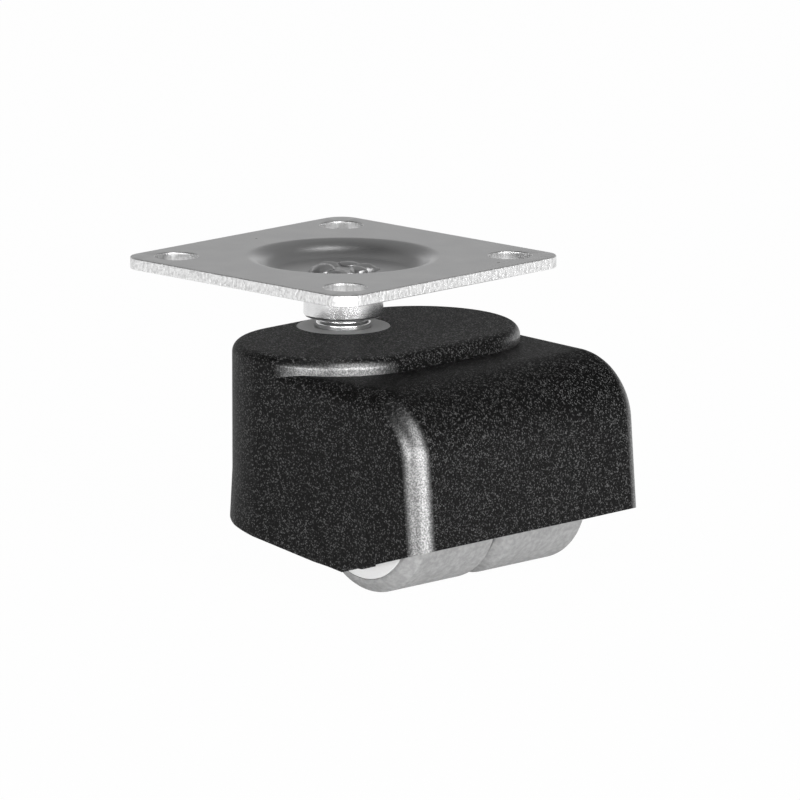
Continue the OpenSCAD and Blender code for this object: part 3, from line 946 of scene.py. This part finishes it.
def lug_solid(side):
    """Lug on a side wall with a snap slot for the axle that opens downwards."""
    foot_gap = 0.55
    low_z = RIM_LOW_Z + foot_gap
    high_z = AXLE_Z + LUG_RISE
    mouth = AXLE_R - SNAP / 2
    bore = AXLE_R + SEAT_FIT
    lip = math.asin(mouth / bore)
    slot = arc((TRAIL, AXLE_Z), bore, 1.5 * math.pi - lip, lip - math.pi / 2, 40)
    outline = [
        (TRAIL - LUG_W / 2, high_z), (TRAIL - LUG_W / 2, low_z), (TRAIL - mouth, low_z),
    ] + slot + [(TRAIL + mouth, low_z), (TRAIL + LUG_W / 2, low_z), (TRAIL + LUG_W / 2, high_z)]
    inner = HUB_HIGH.y + HUB_PLAY
    outer = HALF_W - WALL + ROOT
    return prism(outline, *sorted((side * inner, side * outer)))


def build_housing():
    """Moulded housing: boss, hood, open underside, pin tower and axle lugs in one piece."""
    piece = boss_solid(0, BOSS_TOP_Z, BOSS_EDGE_R)
    combine(piece, hood_solid(0, HOOD_EDGE_R), "UNION")
    hollow = boss_solid(WALL, CEILING_Z, 0)
    combine(hollow, hood_solid(WALL, 0), "UNION")
    combine(piece, hollow, "DIFFERENCE")
    combine(piece, rim_cutter(), "DIFFERENCE")
    for side in (1, -1):
        combine(piece, relief_cutter(side), "DIFFERENCE")
        combine(piece, lug_solid(side), "UNION")
    socket_floor = DISC_LOW.z
    combine(piece, rod(SOCKET_R + TOWER_WALL, socket_floor - TOWER_FLOOR, CEILING_Z + ROOT), "UNION")
    combine(piece, rod(SOCKET_R, socket_floor, PAST), "DIFFERENCE")
    combine(piece, rod(BUSH_HIGH.x + SEAT_FIT, BOSS_TOP_Z - BUSH_FLANGE_T, PAST), "DIFFERENCE")
    piece.name = "housing_moulded"
    smooth(piece)
    return piece


# Rollers


def on_axle(bm, side):
    """Moves a part that was turned about Z, from its inner end outwards, onto the axle."""
    turn = Matrix.Rotation(-side * math.pi / 2, 4, "X")
    spot = Matrix.Translation((TRAIL, side * TREAD_LOW.y, AXLE_Z))
    bmesh.ops.transform(bm, matrix=spot @ turn, verts=bm.verts)


def build_tread(name, side):
    """Grey tread ring with a sloping shoulder at both ends."""
    inner = HUB_R + SEAT_FIT
    end_r = ROLLER_R - SHOULDER_DROP
    profile = rounded([
        (inner, 0, 0.1), (end_r, 0, 0.35),
        (ROLLER_R, SHOULDER_W, 0.3), (ROLLER_R, ROLLER_W - SHOULDER_W, 0.3),
        (end_r, ROLLER_W, 0.35), (inner, ROLLER_W, 0.1),
    ])
    bm = bmesh.new()
    turn_profile(bm, profile, ring=True)
    on_axle(bm, side)
    piece = make_object(name + "_turned", bm)
    smooth(piece)
    return piece


def build_hub(name, side):
    """White hub with a raised ring round its bore at both ends."""
    bore = AXLE_R + RUN_FIT
    profile = rounded([
        (bore, -HUB_PLAY, 0.05), (HUB_RING_R, -HUB_PLAY, 0.1), (HUB_RING_R, 0, 0), (HUB_R, 0, 0.2),
        (HUB_R, ROLLER_W, 0.2), (HUB_RING_R, ROLLER_W, 0), (HUB_RING_R, ROLLER_W + HUB_PLAY, 0.1),
        (bore, ROLLER_W + HUB_PLAY, 0.05),
    ])
    bm = bmesh.new()
    turn_profile(bm, profile, ring=True)
    on_axle(bm, side)
    piece = make_object(name + "_turned", bm)
    smooth(piece)
    return piece


def build_axle():
    """Steel axle with bevelled ends."""
    half = AXLE_HIGH.y
    profile = rounded([(0, -half, 0), (AXLE_R, -half, 0.3), (AXLE_R, half, 0.3), (0, half, 0)])
    bm = bmesh.new()
    turn_profile(bm, profile)
    turn = Matrix.Rotation(-math.pi / 2, 4, "X")
    bmesh.ops.transform(bm, matrix=Matrix.Translation((TRAIL, 0, AXLE_Z)) @ turn, verts=bm.verts)
    piece = make_object("axle_drawn", bm)
    smooth(piece)
    return piece


# Studio


def white_floor():
    """Round pale floor that shows white and keeps the soft shadow."""
    radius = 3000.0
    shown_white = 0.985
    bm = bmesh.new()
    turn_profile(bm, [(0, FLOOR_Z), (radius, FLOOR_Z)], steps=96)
    floor = make_object("floor", bm)
    material = bpy.data.materials.new("floor_white")
    material.use_nodes = True
    tree = material.node_tree
    tree.nodes.clear()
    path = place(tree, "ShaderNodeLightPath")
    seen = place(tree, "ShaderNodeMath", {
        0: path.outputs["Is Camera Ray"], 1: path.outputs["Is Glossy Ray"],
    }, operation="MAXIMUM")
    seen = place(tree, "ShaderNodeMath", {
        0: seen.outputs[0], 1: path.outputs["Is Transmission Ray"],
    }, operation="MAXIMUM")
    glow_share = place(tree, "ShaderNodeMath", {0: seen.outputs[0], 1: shown_white}, operation="MULTIPLY")
    paper = place(tree, "ShaderNodeBsdfDiffuse", {"Color": (0.9, 0.9, 0.9, 1.0)})
    glow = place(tree, "ShaderNodeEmission", {"Color": (1.0, 1.0, 1.0, 1.0), "Strength": 1.0})
    mix = place(tree, "ShaderNodeMixShader", {
        0: glow_share.outputs[0], 1: paper.outputs["BSDF"], 2: glow.outputs["Emission"],
    })
    result = place(tree, "ShaderNodeOutputMaterial")
    tree.links.new(mix.outputs["Shader"], result.inputs["Surface"])
    floor.data.materials.append(material)


def soft_lamp(name, azimuth, elevation, distance, size, power):
    """Soft box that faces the castor; azimuth 0 is on its -Y side and 90 in front of it."""
    around, above = math.radians(azimuth), math.radians(elevation)
    data = bpy.data.lights.new(name, "AREA")
    data.shape = "ELLIPSE"
    data.size, data.size_y = size
    data.energy = power
    lamp = bpy.data.objects.new(name, data)
    target = Vector((0.015, 0, -0.02))
    lamp.location = target + distance * Vector((
        math.sin(around) * math.cos(above), -math.cos(around) * math.cos(above), math.sin(above)
    ))
    lamp.rotation_euler = (target - lamp.location).to_track_quat("-Z", "Y").to_euler()
    bpy.context.scene.collection.objects.link(lamp)


def studio():
    """Room that darkens upwards and forwards, a tall box and low strips at the front."""
    world = bpy.data.worlds.new("room")
    world.use_nodes = True
    tree = world.node_tree
    where = place(tree, "ShaderNodeTexCoord").outputs["Generated"]
    height = place(tree, "ShaderNodeSeparateXYZ", {0: where}).outputs["Z"]
    behind = place(tree, "ShaderNodeVectorMath", {0: where, 1: (-0.7, 0.7, 0.0)}, operation="DOT_PRODUCT")
    low = between(tree, height, 0.97, 0.22, 0.1, 0.4)
    share = between(tree, behind.outputs["Value"], 0.25, 1.0, -0.3, 0.6)
    level = place(tree, "ShaderNodeMath", {0: low, 1: share}, operation="MULTIPLY")
    sky = tree.nodes["Background"]
    sky.inputs["Color"].default_value = (1.0, 1.0, 1.0, 1.0)
    tree.links.new(level.outputs[0], sky.inputs["Strength"])
    bpy.context.scene.world = world
    bpy.context.scene.view_settings.view_transform = "Standard"
    soft_lamp("key_box", azimuth=72, elevation=33, distance=1.2, size=(0.9, 1.3), power=8.0)
    soft_lamp("front_strip", azimuth=70, elevation=2.4, distance=1.1, size=(1.5, 0.12), power=9.5)
    soft_lamp("left_strip", azimuth=10, elevation=2.4, distance=1.1, size=(0.9, 0.12), power=4.5)


def main():
    """Builds, finishes and places every piece, then the studio."""
    aim_camera()
    zinc, pin, black = zinc_plate(), pin_steel(), housing_black()
    dress(build_plate(zinc), "plate", "top_plate", zinc)
    dress(build_pin(pin), "plate", "swivel_pin", pin)
    dress(build_bush(), "hood", "pin_bush", bush_grey())
    dress(build_housing(), "hood", "housing", black)
    dress(build_axle(), "hood", "axle", axle_steel())
    grey, white = tread_grey(), hub_white()
    for name, side in (("left", 1), ("right", -1)):
        body = name + "_roller"
        dress(build_tread(name + "_tread", side), body, name + "_tread", grey)
        dress(build_hub(name + "_hub", side), body, name + "_hub", white)
    hardened = spring_steel()
    for node in ("retaining_ring", "thrust_disc"):
        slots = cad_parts[node].data.materials
        slots.clear()
        slots.append(hardened)
    white_floor()
    studio()


main()
